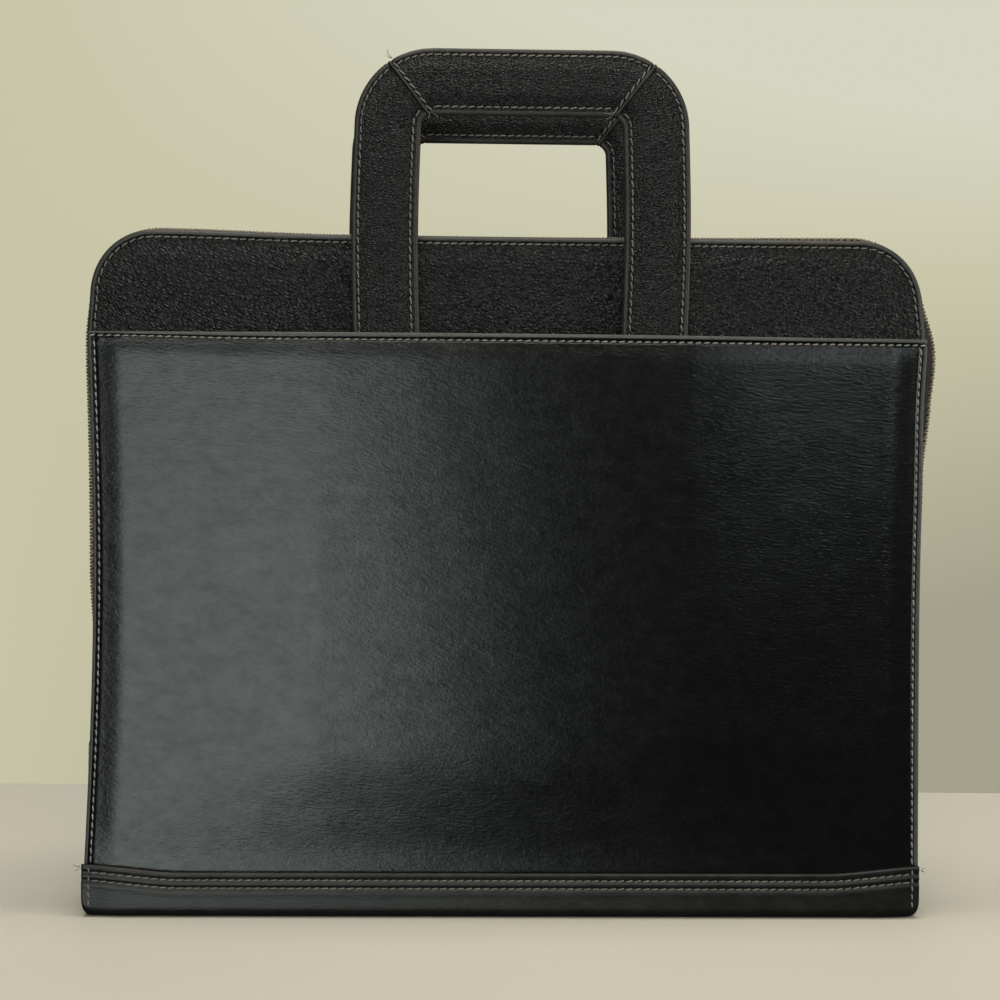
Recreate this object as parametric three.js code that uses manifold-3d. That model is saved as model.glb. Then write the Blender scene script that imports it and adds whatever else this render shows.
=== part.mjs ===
// A zip-around leather document case, closed and standing on its spine with both carrying handles up.
// Millimetres, +Z up. The origin is at the middle of the foot, on the surface that the case stands on.
// The front faces -Y, and +X is on the right of someone who looks at the front.
// Two padded covers stand in a leather spine. A zip joins their other three sides. A slip pocket is
// sewn over each cover, and the legs of a flat leather handle go down into it.
import * as THREE from "three";
import { mergeVertices } from "three/addons/utils/BufferGeometryUtils.js";
import Module from "manifold-3d";

const wasm = await Module();
wasm.setup();

// Overall form
const caseWidth = 357;
const caseHeight = 290.6; // from the floor to the covers' top edge
const insideDepth = 26; // clear depth between the two covers
const topCornerRadius = 27;
const footCornerRadius = 4;
const leftBow = 3.1; // how far the pocket leather draws the left side in at mid height
const rightBow = 0.9;
const mouthFlare = 1.9; // how far the right side stands out at the pocket's mouth
const flareReach = 22;
const cornerRise = 1.5; // how much higher the top left corner stands
const cornerRiseReach = 107; // from the left side, how far in the top edge starts to rise
const fit = 0.3; // gap between neighbouring pieces

// Covers: leather over padding and board, thinner where the rim is sewn down
const coverWall = 3;
const coverPillow = 1.2; // how far the padding stands above the rim
const pillowReach = 16; // from the rim to where the padding is full
const coverLift = 1.5; // from the spine's floor to the covers' lower edge

// Spine: one leather wrap round the foot
const spineWall = 2;
const spineCornerRadius = 5;
const bandHeight = 19.3; // top of the front lip at mid width
const bandRise = 3; // how much higher the lip ends than it runs
const bandRiseReach = 42;

// Slip pockets
const pocketWall = 1.6;
const pocketDrop = 42.4; // from the covers' top edge down to the pocket's mouth
const pocketInset = 1.2; // from the cover's side edge to the pocket's
const pocketSeam = 5; // sewn flat to the cover over this width
const pocketRise = 58; // height over which the pocket opens to its full gap
const hemDepth = 5; // turned edge at the mouth
const hemExtra = 0.8;

// Handles
const handleRise = 78.7; // from the covers' top edge up to the front handle's top
const handleWidth = 142.4;
const handleBand = 28.3;
const handleThick = 5.2;
const handleInnerRadius = 5;
const legTuck = 98; // length of leg inside the pocket
const legBow = 1; // how far each leg bows outward at half its free height
const mitreLean = 38; // degrees from vertical
const mitreInset = 3.5; // from the leg's inner edge to the mitre, along the top band
const weltWidth = 1.4;
const weltProud = 0.6;

// How far each handle has slid in its pocket, towards +X and down
const handleSlips = {
  front: { across: 5.8, down: 0 },
  rear: { across: 2, down: 3.1 },
};

// Zip
const tapeWall = 1;
const tapeSeat = 9; // how far the tape reaches in behind the cover's rim
const coilWidth = 5;
const coilHeight = 1.8;
const sliderShare = 0.06; // place of the closed slider along the zip
const sliderLength = 13;
const sliderWidth = 9.5;
const sliderWall = 1.4;
const sliderCorner = 2;
const postWidth = 2.6;
const pullLength = 30;
const pullWidth = 7;
const pullWall = 1.6;

// How far the coil stands out from the covers' edge along the zip, from its closed end at the left
// foot, over the top, to the right foot. "along" is a share of the zip, "out" a share of insideDepth.
const zipBulge = [
  { along: 0, out: -0.2 },
  { along: 0.04, out: -0.06 },
  { along: 0.085, out: -0.06 },
  { along: 0.16, out: 0.1 },
  { along: 0.3, out: 0.08 },
  { along: 0.5, out: 0.06 },
  { along: 0.7, out: 0.1 },
  { along: 0.745, out: 0.285 },
  { along: 0.765, out: 0.28 },
  { along: 0.8, out: 0.18 },
  { along: 0.86, out: 0.1 },
  { along: 0.92, out: -0.03 },
  { along: 1, out: -0.2 },
];

// The handle's padded section. "across" is a share of half the band, "deep" a share of half its thickness.
const bandSection = [
  { across: -1, deep: 0.56 },
  { across: -0.76, deep: 0.66 },
  { across: -0.5, deep: 0.95 },
  { across: 0, deep: 1 },
  { across: 0.5, deep: 0.95 },
  { across: 0.76, deep: 0.66 },
  { across: 1, deep: 0.56 },
];

// The coil's section. "out" is a share of half its height, "across" a share of half its width.
const coilSection = [
  { out: 1, across: -0.64 },
  { out: 1, across: 0.64 },
  { out: 0, across: 1 },
  { out: -1, across: 0.64 },
  { out: -1, across: -0.64 },
  { out: 0, across: -1 },
];

// How finely each piece is divided
const rimSteps = 4;
const fieldColumns = 6;
const sideRows = 8;
const cornerSteps = 6;
const zipSideSteps = 16;
const zipTopSteps = 8;
const tapeCurveSteps = 6;
const handleCornerSteps = 7;
const legRows = 5;

// Sizes that follow from these
const halfWidth = caseWidth / 2;
const rimFace = insideDepth / 2 + coverWall;
const fullFace = rimFace + coverPillow;
const coverFoot = spineWall + coverLift;
const cornerStart = caseHeight - topCornerRadius;
const pocketTop = caseHeight - pocketDrop;
const pocketFoot = spineCornerRadius + 2 * coverLift;
const lipTop = bandHeight + bandRise;
const handleTop = caseHeight + handleRise;
const handleFoot = pocketTop - legTuck;
const legCentre = (handleWidth - handleBand) / 2;
const bendRadius = handleInnerRadius + handleBand / 2;
const legTop = handleTop - handleBand / 2 - bendRadius;

const mix = THREE.MathUtils.lerp;
const clamp = THREE.MathUtils.clamp;
const smooth = (t) => THREE.MathUtils.smoothstep(t, 0, 1);
const evenly = (from, to, steps) =>
  Array.from({ length: steps + 1 }, (_, i) => mix(from, to, i / steps));

// A closed mesh from points and triangles, turned so that its faces point out
function closedMesh(points, triangles) {
  let volume = 0;
  for (const [a, b, c] of triangles)
    volume += points[a].dot(points[b].clone().cross(points[c]));
  const facing = volume < 0 ? triangles.map(([a, b, c]) => [a, c, b]) : triangles;
  const geometry = new THREE.BufferGeometry().setFromPoints(points);
  geometry.setIndex(facing.flat());
  return geometry;
}

// A wall between two grids of points, rows by columns, closed along its four edges
function wall(outer, inner) {
  const rows = outer.length;
  const columns = outer[0].length;
  const points = [...outer.flat(), ...inner.flat()];
  const out = (r, c) => r * columns + c;
  const back = (r, c) => rows * columns + r * columns + c;
  const triangles = [];
  const quad = (a, b, c, d) => triangles.push([a, b, c], [a, c, d]);
  for (let r = 0; r + 1 < rows; r++)
    for (let c = 0; c + 1 < columns; c++) {
      quad(out(r, c), out(r, c + 1), out(r + 1, c + 1), out(r + 1, c));
      quad(back(r, c), back(r + 1, c), back(r + 1, c + 1), back(r, c + 1));
    }
  const [top, end] = [rows - 1, columns - 1];
  for (let c = 0; c < end; c++) {
    quad(out(0, c), back(0, c), back(0, c + 1), out(0, c + 1));
    quad(out(top, c), out(top, c + 1), back(top, c + 1), back(top, c));
  }
  for (let r = 0; r < top; r++) {
    quad(out(r, 0), out(r + 1, 0), back(r + 1, 0), back(r, 0));
    quad(out(r, end), back(r, end), back(r + 1, end), out(r + 1, end));
  }
  return closedMesh(points, triangles);
}

// A solid through a row of rings of points, closed with a fan at each end
function loft(rings) {
  const count = rings[0].length;
  const points = rings.flat();
  const triangles = [];
  for (let r = 0; r + 1 < rings.length; r++)
    for (let i = 0; i < count; i++) {
      const a = r * count + i;
      const b = r * count + ((i + 1) % count);
      triangles.push([a, b, b + count], [a, b + count, a + count]);
    }
  const last = (rings.length - 1) * count;
  for (let i = 1; i + 1 < count; i++)
    triangles.push([0, i + 1, i], [last, last + i, last + i + 1]);
  return closedMesh(points, triangles);
}

// A closed mesh as a solid that can be joined and cut, and back
function toSolid(geometry) {
  const bare = geometry.index ? geometry.toNonIndexed() : geometry.clone();
  bare.deleteAttribute("normal");
  bare.deleteAttribute("uv");
  const merged = mergeVertices(bare, 1e-4);
  return new wasm.Manifold(
    new wasm.Mesh({
      numProp: 3,
      vertProperties: merged.attributes.position.array,
      triVerts: new Uint32Array(merged.index.array),
    }),
  );
}

function toGeometry(solid) {
  const mesh = solid.getMesh();
  const geometry = new THREE.BufferGeometry();
  geometry.setAttribute("position", new THREE.BufferAttribute(mesh.vertProperties, 3));
  geometry.setIndex(new THREE.BufferAttribute(mesh.triVerts, 1));
  return geometry;
}

// Distance from the case's middle to its left (-1) or right (1) side at a height, without its corners
function sideReach(side, z) {
  const share = clamp((z - bandHeight) / (pocketTop - bandHeight), 0, 1);
  const drawn = Math.sin(Math.PI * share);
  if (side < 0) return halfWidth - leftBow * drawn;
  const flare = mouthFlare * Math.exp(-(((z - pocketTop) / flareReach) ** 2));
  return halfWidth - rightBow * drawn + flare;
}

// The same for a cover, with its round corners at the top and foot
function coverReach(side, z) {
  const overTop = clamp(z - cornerStart, 0, topCornerRadius);
  const underFoot = clamp(coverFoot + footCornerRadius - z, 0, footCornerRadius);
  const top = topCornerRadius - Math.sqrt(topCornerRadius ** 2 - overTop ** 2);
  const foot = footCornerRadius - Math.sqrt(footCornerRadius ** 2 - underFoot ** 2);
  return sideReach(side, z) - top - foot;
}

// Raises what lies near the top left corner, which the zip pushes up
function raised(point) {
  const fromLeft = halfWidth + point.x;
  const across = smooth((cornerRiseReach - fromLeft) / (cornerRiseReach - topCornerRadius));
  const up = smooth((point.z - pocketTop) / pocketDrop);
  point.z += cornerRise * across * up;
  return point;
}

// Distance of a cover's outer face from the case's middle plane
function coverFace(x, z) {
  const fromSide = smooth((coverReach(Math.sign(x), z) - Math.abs(x)) / pillowReach);
  const fromTop = smooth((caseHeight - z) / pillowReach);
  return rimFace + coverPillow * fromSide * fromTop;
}

// Places across a row that reaches from -left to right, closer together over the padding's slope
function columnsAcross(left, right) {
  const rim = evenly(0, pillowReach, rimSteps);
  const field = evenly(pillowReach - left, right - pillowReach, fieldColumns).slice(1, -1);
  return [...rim.map((d) => d - left), ...field, ...rim.reverse().map((d) => right - d)];
}

function coverGeometry(side) {
  const foot = evenly(0, Math.PI / 2, 2).map((a) => footCornerRadius * (1 - Math.cos(a)));
  const corner = evenly(0, Math.PI / 2, cornerSteps).map((a) => topCornerRadius * Math.sin(a));
  const heights = [
    ...foot.map((h) => coverFoot + h),
    ...evenly(bandHeight, cornerStart, sideRows),
    ...corner.slice(1).map((h) => cornerStart + h),
  ];
  const places = heights.map((z) =>
    columnsAcross(coverReach(-1, z), coverReach(1, z)).map((x) => ({ x, z })),
  );
  const sheet = (depth) =>
    places.map((row) => row.map(({ x, z }) => raised(new THREE.Vector3(x, side * depth(x, z), z))));
  return wall(
    sheet(coverFace),
    sheet(() => insideDepth / 2),
  );
}

// How far a pocket stands off its cover: sewn flat at its sides and foot, open where the legs are
function pocketGap(x, z, slip) {
  const legEdge = handleWidth / 2 + Math.abs(slip.across) + legBow + fit;
  const seamEdge = sideReach(Math.sign(x), z) - pocketInset - pocketSeam;
  const across = smooth((seamEdge - Math.abs(x)) / (seamEdge - legEdge));
  const up = smooth((z - lipTop) / pocketRise);
  return fit + (handleThick + fit) * across * up;
}

function pocketGeometry(side, slip) {
  const hemFoot = pocketTop - hemDepth;
  const heights = [
    pocketFoot,
    ...evenly(lipTop, lipTop + pocketRise, 4),
    ...evenly(lipTop + pocketRise, hemFoot, 6).slice(1),
    hemFoot + hemExtra,
    pocketTop,
  ];
  const reach = (end, z) => sideReach(end, z) - pocketInset;
  const places = heights.map((z) =>
    columnsAcross(reach(-1, z), reach(1, z)).map((x) => ({ x, z })),
  );
  const inFace = (x, z) => coverFace(x, z) + pocketGap(x, z, slip);
  const outFace = (x, z) => inFace(x, z) + pocketWall + (z > hemFoot ? hemExtra : 0);
  const sheet = (depth) =>
    places.map((row) => row.map(({ x, z }) => new THREE.Vector3(x, side * depth(x, z), z)));
  return wall(sheet(outFace), sheet(inFace));
}

// Spine: a channel whose lips lie over the pockets' feet
function spineGeometry() {
  const fromEnd = [
    ...evenly(0, Math.PI / 2, 3).map((a) => footCornerRadius * (1 - Math.cos(a))),
    ...evenly(footCornerRadius, bandRiseReach, 4).slice(1),
    ...evenly(bandRiseReach, halfWidth, 3).slice(1),
  ];
  const left = fromEnd.map((d) => d - halfWidth);
  const right = fromEnd.slice(0, -1).map((d) => halfWidth - d);
  const corner = evenly(0, Math.PI / 2, 4);

  const profile = (x, depth) => {
    const fromHere = halfWidth - Math.abs(x);
    const past = Math.max(0, footCornerRadius - fromHere);
    const lift = footCornerRadius - Math.sqrt(footCornerRadius ** 2 - past ** 2);
    const top = bandHeight + bandRise * (1 - smooth(fromHere / bandRiseReach));
    const radius = spineCornerRadius - depth;
    const pocketFace = coverFace(x, bandHeight) + fit + pocketWall;
    const face = pocketFace + fit + spineWall - depth;
    const half = [
      new THREE.Vector3(x, face, top),
      ...corner.map((a) => {
        const y = face - radius * (1 - Math.cos(a));
        const z = lift + spineCornerRadius - radius * Math.sin(a);
        return new THREE.Vector3(x, y, z);
      }),
    ];
    const mirrored = half.map(({ y, z }) => new THREE.Vector3(x, -y, z));
    return [...half, ...mirrored.reverse()];
  };
  const stations = [...left, ...right.reverse()];
  return wall(
    stations.map((x) => profile(x, 0)),
    stations.map((x) => profile(x, spineWall)),
  );
}

// Places along the covers' edge from the left foot over the top to the right foot, each with the
// direction that points out of the case and how far the coil stands out there
function zipPath() {
  const heights = evenly(coverFoot, cornerStart, zipSideSteps);
  const turn = evenly(0, Math.PI / 2, cornerSteps).slice(1, -1);
  const topReach = halfWidth - topCornerRadius;
  const sideAt = (side, z) => ({
    point: new THREE.Vector3(side * sideReach(side, z), 0, z),
    out: new THREE.Vector3(side, 0, 0),
  });
  const cornerAt = (side, a) => {
    const z = cornerStart + topCornerRadius * Math.sin(a);
    return {
      point: new THREE.Vector3(side * coverReach(side, z), 0, z),
      out: new THREE.Vector3(side * Math.cos(a), 0, Math.sin(a)),
    };
  };
  const topAt = (x) => ({
    point: new THREE.Vector3(x, 0, caseHeight),
    out: new THREE.Vector3(0, 0, 1),
  });
  const path = [
    ...heights.map((z) => sideAt(-1, z)),
    ...turn.map((a) => cornerAt(-1, a)),
    ...evenly(-topReach, topReach, zipTopSteps).map(topAt),
    ...[...turn].reverse().map((a) => cornerAt(1, a)),
    ...[...heights].reverse().map((z) => sideAt(1, z)),
  ];
  let length = 0;
  const lengths = path.map(({ point }, i) => {
    if (i > 0) length += point.distanceTo(path[i - 1].point);
    return length;
  });
  return path.map((place, i) => {
    const along = lengths[i] / length;
    return { ...place, along, bulge: bulgeAt(along) };
  });
}

function bulgeAt(along) {
  const next = zipBulge.findIndex((row) => row.along >= along);
  const [from, to] = [zipBulge[Math.max(0, next - 1)], zipBulge[Math.max(1, next)]];
  const share = smooth((along - from.along) / (to.along - from.along));
  return insideDepth * mix(from.out, to.out, share);
}

// One row of a tape: it lies against the cover's inside, then turns across the case to the coil
function tapeRow(place, side, depth) {
  const seat = insideDepth / 2 - fit - tapeWall / 2;
  const edge = coilWidth / 2 + fit;
  const curve = new THREE.CubicBezierCurve(
    new THREE.Vector2(-tapeSeat, seat),
    new THREE.Vector2(place.bulge - tapeWall, seat),
    new THREE.Vector2(place.bulge, (seat + edge) / 2),
    new THREE.Vector2(place.bulge, edge),
  );
  return evenly(0, 1, tapeCurveSteps).map((t) => {
    const at = curve.getPoint(t);
    const along = curve.getTangent(t);
    const out = at.x - along.y * depth;
    const across = at.y + along.x * depth;
    return raised(place.point.clone().addScaledVector(place.out, out).setY(side * across));
  });
}

function tapeGeometry(path, side) {
  return wall(
    path.map((place) => tapeRow(place, side, tapeWall / 2)),
    path.map((place) => tapeRow(place, side, -tapeWall / 2)),
  );
}

function coilGeometry(path) {
  const ring = ({ point, out, bulge }) =>
    coilSection.map((row) => {
      const height = bulge + (row.out * coilHeight) / 2;
      return raised(point.clone().addScaledVector(out, height).setY((row.across * coilWidth) / 2));
    });
  return loft(path.map(ring));
}

// A plate that faces along X, with round corners
function plate(width, length, thickness, radius) {
  const [w, l] = [width / 2 - radius, length / 2 - radius];
  const quarter = Math.PI / 2;
  const shape = new THREE.Shape()
    .absarc(w, -l, radius, -quarter, 0)
    .absarc(w, l, radius, 0, quarter)
    .absarc(-w, l, radius, quarter, 2 * quarter)
    .absarc(-w, -l, radius, 2 * quarter, 3 * quarter);
  const settings = { depth: thickness, bevelEnabled: false, curveSegments: 3 };
  const geometry = new THREE.ExtrudeGeometry(shape, settings);
  return geometry.translate(0, 0, -thickness / 2).rotateX(quarter).rotateZ(quarter);
}

// The slider closes the coil from outside and inside, with a post between its two plates just below
// the coil's end. Its pull hangs from a lug on the outer plate.
function sliderGeometry({ point, bulge }) {
  const jaw = coilHeight / 2 + fit;
  const face = jaw + sliderWall;
  const outer = plate(sliderWidth, sliderLength, sliderWall, sliderCorner);
  outer.translate(-jaw - sliderWall / 2, 0, 0);
  const inner = outer.clone().translate(2 * jaw + sliderWall, 0, 0);
  const postLength = sliderLength / 2 - fit;
  const post = new THREE.BoxGeometry(2 * face - sliderWall, postWidth, postLength);
  post.translate(0, 0, -fit - postLength / 2);
  const lug = new THREE.BoxGeometry(fit + pullWall + sliderWall, postWidth, sliderLength / 2);
  lug.translate(-face - (fit + pullWall - sliderWall) / 2, 0, 0);
  const pull = plate(pullWidth, pullLength, pullWall, pullWidth / 3);
  pull.translate(-face - fit - pullWall / 2, 0, sliderLength / 4 - pullLength / 2);
  const slider = [inner, post, lug, pull].reduce(
    (whole, piece) => whole.add(toSolid(piece)),
    toSolid(outer),
  );
  return toGeometry(slider).translate(point.x - bulge, 0, point.z);
}

// Half a handle's middle line from its left foot to the middle of the top band, with the direction
// that points to the band's outer edge
function handleHalfPath() {
  const bendCentre = legCentre - bendRadius;
  const bow = (z) => legBow * Math.sin((Math.PI * (z - pocketTop)) / (legTop - pocketTop));
  const outward = new THREE.Vector3(-1, 0, 0);
  const leg = evenly(pocketTop, legTop, legRows).map((z) => ({
    point: new THREE.Vector3(-legCentre - bow(z), 0, z),
    out: outward,
  }));
  const bend = evenly(0, Math.PI / 2, handleCornerSteps).map((a) => {
    const out = new THREE.Vector3(-Math.cos(a), 0, Math.sin(a));
    const centre = new THREE.Vector3(-bendCentre, 0, legTop);
    return { point: centre.addScaledVector(out, bendRadius), out };
  });
  const foot = { point: new THREE.Vector3(-legCentre, 0, handleFoot), out: outward };
  return [foot, ...leg.slice(0, -1), ...bend];
}

// The whole handle band as one solid, grown by "extra" on every side of its section
function bandSolid(extra) {
  const half = handleHalfPath();
  const flip = new THREE.Vector3(-1, 1, 1);
  const mirrored = half.map(({ point, out }) => ({
    point: point.clone().multiply(flip),
    out: out.clone().multiply(flip),
  }));
  const front = bandSection.map(({ across, deep }) => ({ across, deep: -deep }));
  const section = [...bandSection, ...front.reverse()];
  const ring = ({ point, out }) =>
    section.map(({ across, deep }) => {
      const reach = across * (handleBand / 2 + extra);
      const depth = (deep * handleThick) / 2 + Math.sign(deep) * extra;
      return point.clone().addScaledVector(out, reach).setY(depth);
    });
  return toSolid(loft([...half, ...mirrored.reverse()].map(ring)));
}

// All that lies on a leg's side of its mitre, from a line "back" towards that leg
function legSide(side, back) {
  const block = new THREE.BoxGeometry(handleTop, 2 * handleThick, 2 * handleTop);
  block.translate(side * (handleTop / 2 + back), 0, 0);
  block.rotateY(side * THREE.MathUtils.degToRad(mitreLean));
  const innerEdge = handleWidth / 2 - handleBand;
  block.translate(side * (innerEdge - mitreInset), 0, handleTop - handleBand);
  return toSolid(block);
}

// All that lies on one side of the handle's middle
function halfOf(side) {
  const block = new THREE.BoxGeometry(handleWidth, 2 * handleThick, 2 * handleTop);
  return toSolid(block.translate((side * handleWidth) / 2, 0, handleTop));
}

// The handle is cut at its two mitres into a top band and two legs, with a welt in each mitre
function handlePieces() {
  const band = bandSolid(0);
  const proud = bandSolid(weltProud);
  const ends = { left: -1, right: 1 };
  const pieces = {};
  let top = band;
  for (const [end, side] of Object.entries(ends)) {
    const half = halfOf(side);
    const leg = legSide(side, weltWidth / 2 + fit).intersect(half);
    const weltOuter = legSide(side, -weltWidth / 2).intersect(half);
    const beyond = legSide(side, -weltWidth / 2 - fit).intersect(half);
    top = top.subtract(beyond);
    pieces[`leg_${end}`] = band.intersect(leg);
    pieces[`welt_${end}`] = proud.intersect(weltOuter).subtract(legSide(side, weltWidth / 2));
  }
  return { top, ...pieces };
}

// Materials
const surface = (color, roughness, metalness = 0) =>
  new THREE.MeshStandardMaterial({ color, roughness, metalness });
const grainedLeather = () => surface(0x1b1e1f, 0.5);
const smoothLeather = () => surface(0x17191a, 0.38);
const bandLeather = () => surface(0x1e1e1c, 0.45);
const weltLeather = () => surface(0x2c2b27, 0.6);
const tapeCloth = () => surface(0x141414, 0.85);
const coilNylon = () => surface(0x3a332a, 0.45);
const darkMetal = () => surface(0x4b4b4a, 0.35, 0.9);

// Assembly
function piece(name, geometry, material) {
  const mesh = new THREE.Mesh(geometry, material);
  mesh.name = name;
  return mesh;
}

function handle(name, side, slip) {
  const group = new THREE.Group();
  for (const [part, solid] of Object.entries(handlePieces())) {
    const material = part.startsWith("welt") ? weltLeather() : grainedLeather();
    group.add(piece(`${name}_handle_${part}`, toGeometry(solid), material));
  }
  group.position.set(slip.across, side * (fullFace + fit + handleThick / 2), -slip.down);
  return group;
}

const zip = zipPath();
const coilPath = zip.filter(({ along }) => along >= sliderShare);

const model = new THREE.Group();
model.add(
  piece("front_cover", coverGeometry(-1), grainedLeather()),
  piece("back_cover", coverGeometry(1), grainedLeather()),
  piece("front_pocket", pocketGeometry(-1, handleSlips.front), smoothLeather()),
  piece("back_pocket", pocketGeometry(1, handleSlips.rear), smoothLeather()),
  piece("spine", spineGeometry(), bandLeather()),
  handle("front", -1, handleSlips.front),
  handle("rear", 1, handleSlips.rear),
  piece("zip_tape_front", tapeGeometry(zip, -1), tapeCloth()),
  piece("zip_tape_back", tapeGeometry(zip, 1), tapeCloth()),
  piece("zip_coil", coilGeometry(coilPath), coilNylon()),
  piece("zip_slider", sliderGeometry(coilPath[0]), darkMetal()),
);

export default model;
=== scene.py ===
"""A zip-around leather document case in fine detail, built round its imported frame.

Metres, +Z up, front towards -Y. The case stands on its spine, closed, with both handles up.
Each leather panel is a mesh worked out from the frame's sizes. Stitches, zip teeth and loose threads
are joined meshes made by loops, and every finish is procedural.
"""

import math

import bmesh
import bpy
import numpy as np
from mathutils import Matrix, Vector


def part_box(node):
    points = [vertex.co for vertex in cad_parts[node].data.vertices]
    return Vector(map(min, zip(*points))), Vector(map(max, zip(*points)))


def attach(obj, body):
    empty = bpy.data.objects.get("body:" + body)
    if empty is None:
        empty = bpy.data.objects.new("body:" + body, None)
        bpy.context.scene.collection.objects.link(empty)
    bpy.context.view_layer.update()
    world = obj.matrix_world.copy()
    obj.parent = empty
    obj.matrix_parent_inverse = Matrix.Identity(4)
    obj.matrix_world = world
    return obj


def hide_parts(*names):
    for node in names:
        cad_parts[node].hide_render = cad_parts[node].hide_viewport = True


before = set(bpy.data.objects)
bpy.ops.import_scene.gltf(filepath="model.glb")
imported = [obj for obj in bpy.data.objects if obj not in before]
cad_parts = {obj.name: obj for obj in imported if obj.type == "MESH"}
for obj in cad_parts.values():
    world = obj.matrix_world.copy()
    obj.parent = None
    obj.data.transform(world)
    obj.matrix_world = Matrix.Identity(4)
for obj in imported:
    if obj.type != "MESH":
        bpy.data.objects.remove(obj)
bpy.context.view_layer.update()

# Where the photo was taken from
CAMERA_PLACE = Vector((-0.0175, -0.7, 0.1806))
CAMERA_YAW = 0.0222  # towards +X
CAMERA_PITCH = -0.0039
CAMERA_ROLL = -0.008
LENS = 57.6  # millimetres, on a sensor 36 wide

# Overall form, from the frame
SPINE_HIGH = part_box("spine")[1]
COVER_LOW, COVER_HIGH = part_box("front_cover")
POCKET_LOW, POCKET_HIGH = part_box("front_pocket")
CORNER_RISE = 0.0015
CORNER_RISE_REACH = 0.107
HALF_WIDTH = SPINE_HIGH.x
CASE_HEIGHT = COVER_HIGH.z - CORNER_RISE
COVER_FOOT = COVER_LOW.z
INSIDE_HALF = -COVER_HIGH.y
FULL_FACE = -COVER_LOW.y
POCKET_TOP = POCKET_HIGH.z
POCKET_FOOT = POCKET_LOW.z
LIP_TOP = SPINE_HIGH.z

TOP_RADIUS = 0.027
FOOT_RADIUS = 0.004
LEFT_BOW = 0.0031
LEFT_LEAN = 0.001  # of the left side above the pockets
LEAN_REACH = 0.018
RIGHT_BOW = 0.0004
MOUTH_FLARE = 0.0019
FLARE_UP = 0.013
FLARE_DOWN = 0.022
FIT = 0.0003

# Covers
COVER_PILLOW = 0.0012
PILLOW_REACH = 0.016
RIM_FACE = FULL_FACE - COVER_PILLOW
CORNER_START = CASE_HEIGHT - TOP_RADIUS
COVER_SEAM = 0.0032  # from the edge to the stitches
RIM_EDGE_RADIUS = 0.0014
RIM_BACK_RADIUS = 0.0008
COVER_ROLL = ((0.0016, 0.00035, 0.0011),)  # in from the edge, height, width
COVER_GROOVE = ((COVER_SEAM, -0.0004, 0.0007),)

# Spine
SPINE_WALL = 0.002
SPINE_ROUND = 0.0008  # of its outer edges
SPINE_BACK_ROUND = 0.0005
SPINE_CORNER = 0.005
BAND_RISE = 0.003
BAND_RISE_REACH = 0.042
BAND_HEIGHT = LIP_TOP - BAND_RISE
BAND_SEAMS = (0.0032, 0.0066)  # below the lip
SPINE_RELIEF = (
    # below the lip, height, width
    (0.001, 0.00025, 0.001),
    (BAND_SEAMS[0], -0.00045, 0.0007),
    (sum(BAND_SEAMS) / 2, 0.0003, 0.0008),
    (BAND_SEAMS[1], -0.00045, 0.0007),
    (BAND_SEAMS[1] + 0.0022, 0.00025, 0.0013),
)

# Pockets
POCKET_WALL = 0.0016
POCKET_INSET = 0.0006  # of its left edge
POCKET_SWELL = 0.0008  # of its right edge, past the case's
SWELL_HEIGHT = 0.2
SWELL_REACH = 0.045
POCKET_SEAM = 0.005
POCKET_RISE = 0.058
POCKET_CROWN = 0.0015  # how far it bows out over the handle's legs
POCKET_ROUND = 0.0007  # of its outer edges
POCKET_BACK_ROUND = 0.0004
SIDE_SEAM = 0.0027  # from the pocket's edge to its stitches
POCKET_SIDE_RELIEF = ((0.0013, 0.0003, 0.0008), (SIDE_SEAM, -0.0005, 0.0007))  # in, height, width
POCKET_WAVES = ((0, 0.11, 0.00012), (0.3, 0.031, 0.00005))  # shift, size, height

# Handles
HANDLE_BAND = 0.0283
HANDLE_THICK = 0.0052
HANDLE_INNER_RADIUS = 0.005
LEG_BOW = 0.001
MITRE_LEAN = math.radians(38)
MITRE_INSET = 0.0035
MITRE_ROUND = 0.0005  # of the bands' ends
MITRE_GAP = 0.00005  # between a band and the welt
WELT_HALF = 0.0008
WELT_PROUD = 0.0004
WELT_INSET = 0.0003  # of its ends from the bands' edges
CHAIN_INSET = 0.0014  # from the mitre to the stitches along it
CHAIN_LENGTH = 1.35  # of those stitches, as a share of the others
OUTER_SEAM = 0.0029  # from the band's outer edge to its stitches
INNER_SEAM = 0.0034
BAND_EDGE = 0.0014  # rounding of the band's edges

# Zip
TAPE_WALL = 0.001
TAPE_SEAT = 0.009
TAPE_DROPS = (0.0045, 0.0022, 0.0011)  # how far its curve's points lie below the coil's place
COIL_WIDTH = 0.005
COIL_HEIGHT = 0.0018
SLIDER_SHARE = 0.06
TOOTH_PITCH = 0.0029

# Thread
PITCH = 0.0036
STITCH_LENGTH = 0.0026
TIGHT = 1.22  # how much longer the stitches of the handles, covers and spine are
THREAD = 0.00034  # radius
STITCH_SLANT = math.radians(9)
SLANT_SPREAD = math.radians(2.5)
LENGTH_SPREAD = 0.04
STITCH_PULL = 0.00012  # how far a stitch draws the leather in at its holes

# How far the coil stands out of the covers' edge along the zip, as shares of its length and of the depth
ZIP_BULGE = (
    # along, out
    (0, -0.2), (0.04, -0.06), (0.085, -0.06), (0.16, 0.12), (0.25, 0.11), (0.3, 0.06), (0.5, 0.03),
    (0.7, 0.08), (0.742, 0.285), (0.762, 0.26), (0.795, 0.16), (0.86, 0.1), (0.92, -0.03), (1, -0.2),
)

SEED = 7
rng = np.random.default_rng(SEED)


# Numbers
def smooth(t):
    """Rises from 0 to 1 without a corner at either end."""
    t = np.clip(t, 0.0, 1.0)
    return t * t * (3.0 - 2.0 * t)


def hump(distance, width):
    """1 at no distance, and falls away past the width."""
    return np.exp(-((np.asarray(distance) / width) ** 2))


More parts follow.
